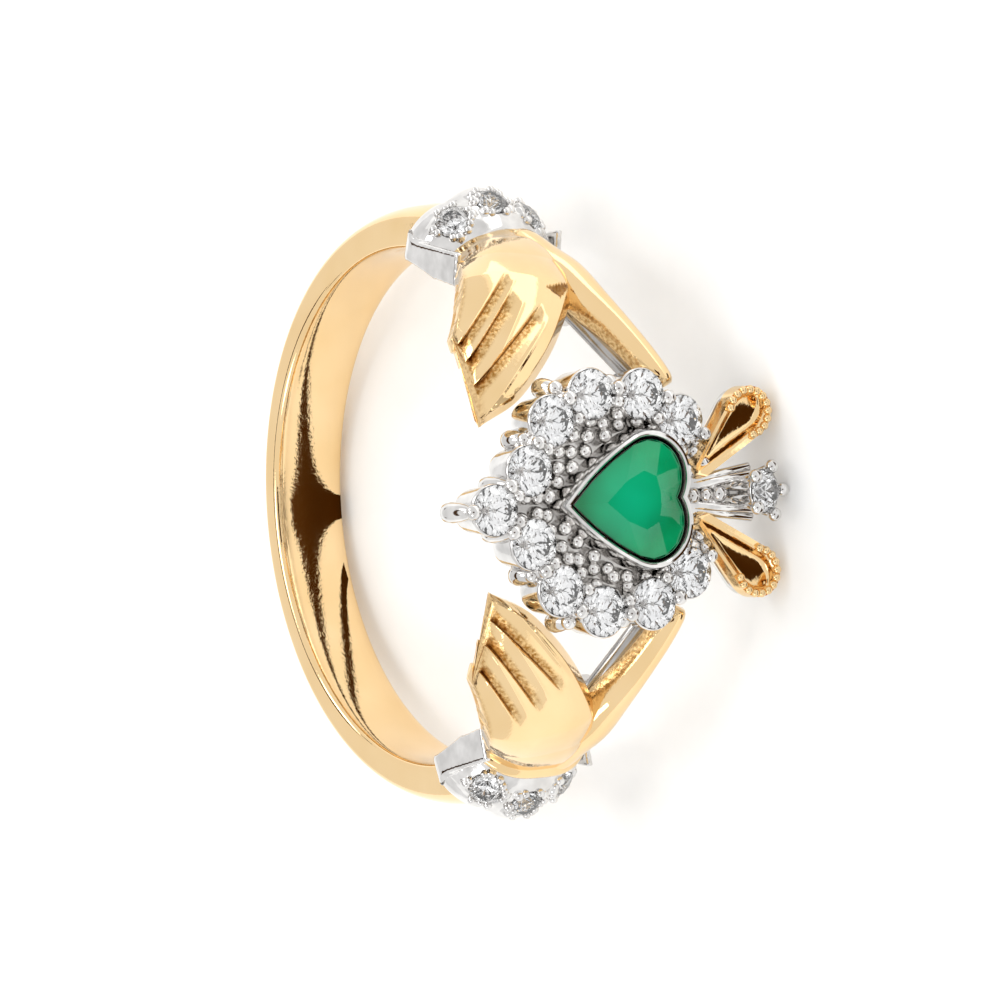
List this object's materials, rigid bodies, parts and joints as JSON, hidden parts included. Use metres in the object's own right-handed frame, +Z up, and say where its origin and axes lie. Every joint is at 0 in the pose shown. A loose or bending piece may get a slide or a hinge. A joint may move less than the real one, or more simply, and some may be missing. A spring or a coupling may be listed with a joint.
{
  "type": "claddagh ring",
  "caption": "Two-tone gold claddagh ring: two hands hold a crowned green heart stone framed by small round clear stones, with stone-set cuffs.",
  "frame": {"origin": "centre of the finger hole, on its axis, halfway across the band", "axes": "+X toward the hand that is upper in the picture, -Y toward the heart, +Z up as the ring lies on its side; the finger hole leans from +Z toward +Y by the rest tilt"},
  "size_m": [0.0214, 0.0225, 0.0121],
  "materials": {
    "yellow_gold": "polished yellow gold",
    "white_gold": "polished white gold",
    "clear_stone": "faceted clear stone",
    "green_stone": "faceted green stone"
  },
  "bodies": {
    "root": {"band": "yellow_gold", "cuff_upper": "white_gold", "cuff_lower": "white_gold", "hand_upper": "yellow_gold", "hand_lower": "yellow_gold", "head_setting": "white_gold", "crown_leaf_upper": "yellow_gold", "crown_leaf_lower": "yellow_gold", "heart_stone": "green_stone", "crown_stone": "clear_stone", "halo_stone_01": "clear_stone", "halo_stone_02": "clear_stone", "halo_stone_03": "clear_stone", "halo_stone_04": "clear_stone", "halo_stone_05": "clear_stone", "halo_stone_06": "clear_stone", "halo_stone_07": "clear_stone", "halo_stone_08": "clear_stone", "halo_stone_09": "clear_stone", "halo_stone_10": "clear_stone", "halo_stone_11": "clear_stone", "cuff_upper_stone_1": "clear_stone", "cuff_upper_stone_2": "clear_stone", "cuff_upper_stone_3": "clear_stone", "cuff_lower_stone_1": "clear_stone", "cuff_lower_stone_2": "clear_stone", "cuff_lower_stone_3": "clear_stone"}
  },
  "joints": []
}
